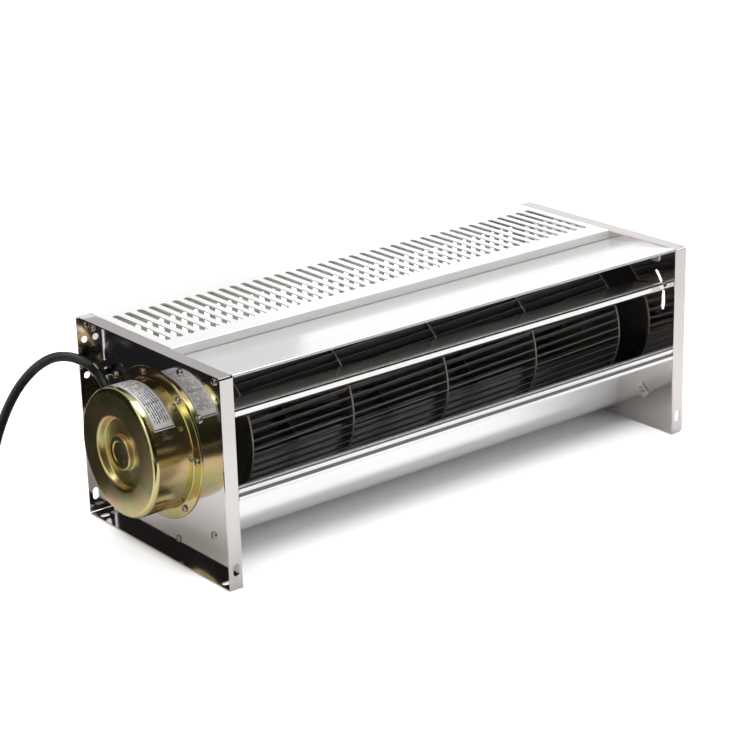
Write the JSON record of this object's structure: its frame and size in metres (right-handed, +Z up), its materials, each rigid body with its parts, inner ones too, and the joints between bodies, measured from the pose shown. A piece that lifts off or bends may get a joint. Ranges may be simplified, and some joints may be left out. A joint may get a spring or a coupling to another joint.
{
  "type": "cross flow fan",
  "caption": "Long sheet-steel cross flow fan: bladed impeller between pan-shaped end plates, scroll, tilting tongue, slotted inlet grilles, flange motor and a lead.",
  "frame": {"origin": "centre of the four foot slots, on the underside of the end plates' bottom flanges, midway between the end plates", "axes": "+X runs along the impeller away from the motor, +Y to the back with the rear grille, +Z up"},
  "size_m": [0.8635, 0.317, 0.216],
  "materials": {
    "plate_steel": "bright rolled",
    "grille_steel": "bright rolled",
    "scroll_steel": "bright rolled",
    "cowl_steel": "bright rolled",
    "tongue_steel": "bright rolled",
    "screw_steel": "zinc plated",
    "impeller_black": "black satin",
    "hub_metal": "turned",
    "shaft_steel": "ground",
    "bearing_steel": "ground",
    "motor_zinc": "yellow passivated zinc",
    "rotor_iron": "machined",
    "stator_iron": "laminated",
    "coil_copper": "enamelled wire",
    "holder_steel": "zinc plated",
    "ring_rubber": "matt",
    "grommet_rubber": "matt",
    "cable_black": "satin",
    "tie_plastic": "matt",
    "connector_metal": "satin",
    "label_foil": "printed foil"
  },
  "bodies": {
    "housing": {"left_end_plate": "plate_steel", "right_end_plate": "plate_steel", "top_grille": "grille_steel", "rear_grille": "grille_steel", "front_cowl": "cowl_steel", "scroll_sheet": "scroll_steel", "frame_screws": "screw_steel", "tongue_pivots": "screw_steel", "bearing_outer_rings": "bearing_steel", "motor_front_cup": "motor_zinc", "motor_rear_cup": "motor_zinc", "motor_label": "label_foil", "motor_flange_screws": "screw_steel", "stator_core": "stator_iron", "stator_coils": "coil_copper", "bearing_holder": "holder_steel", "bearing_rubber_ring": "ring_rubber", "bearing_holder_screws": "screw_steel", "cable_grommet": "grommet_rubber", "cable_clip": "plate_steel", "cable_clip_screw": "screw_steel", "cable_tube": "cable_black", "cable_coil": "cable_black", "cable_tie": "tie_plastic", "cable_connector": "connector_metal"},
    "tongue": {"tongue_bar": "tongue_steel", "tongue_clamp_screws": "screw_steel"},
    "impeller": {"impeller_disc_1": "impeller_black", "impeller_disc_2": "impeller_black", "impeller_disc_3": "impeller_black", "impeller_disc_4": "impeller_black", "impeller_disc_5": "impeller_black", "blade_row_1": "impeller_black", "blade_row_2": "impeller_black", "blade_row_3": "impeller_black", "blade_row_4": "impeller_black", "drive_hub": "hub_metal", "end_hub": "hub_metal", "hub_rivets": "screw_steel", "hub_set_screws": "screw_steel", "motor_shaft": "shaft_steel", "end_shaft": "shaft_steel", "motor_rotor": "rotor_iron", "bearing_inner_rings": "bearing_steel"}
  },
  "joints": [
    {"name": "impeller_spin", "type": "hinge", "parent": "housing", "child": "impeller", "pos_m": [0, 0.01, 0.11], "axis": [1, 0, 0], "continuous": true},
    {"name": "tongue_tilt", "type": "hinge", "parent": "housing", "child": "tongue", "pos_m": [0, -0.06629, 0.15584], "axis": [1, 0, 0], "range_deg": [-20, 30]}
  ]
}
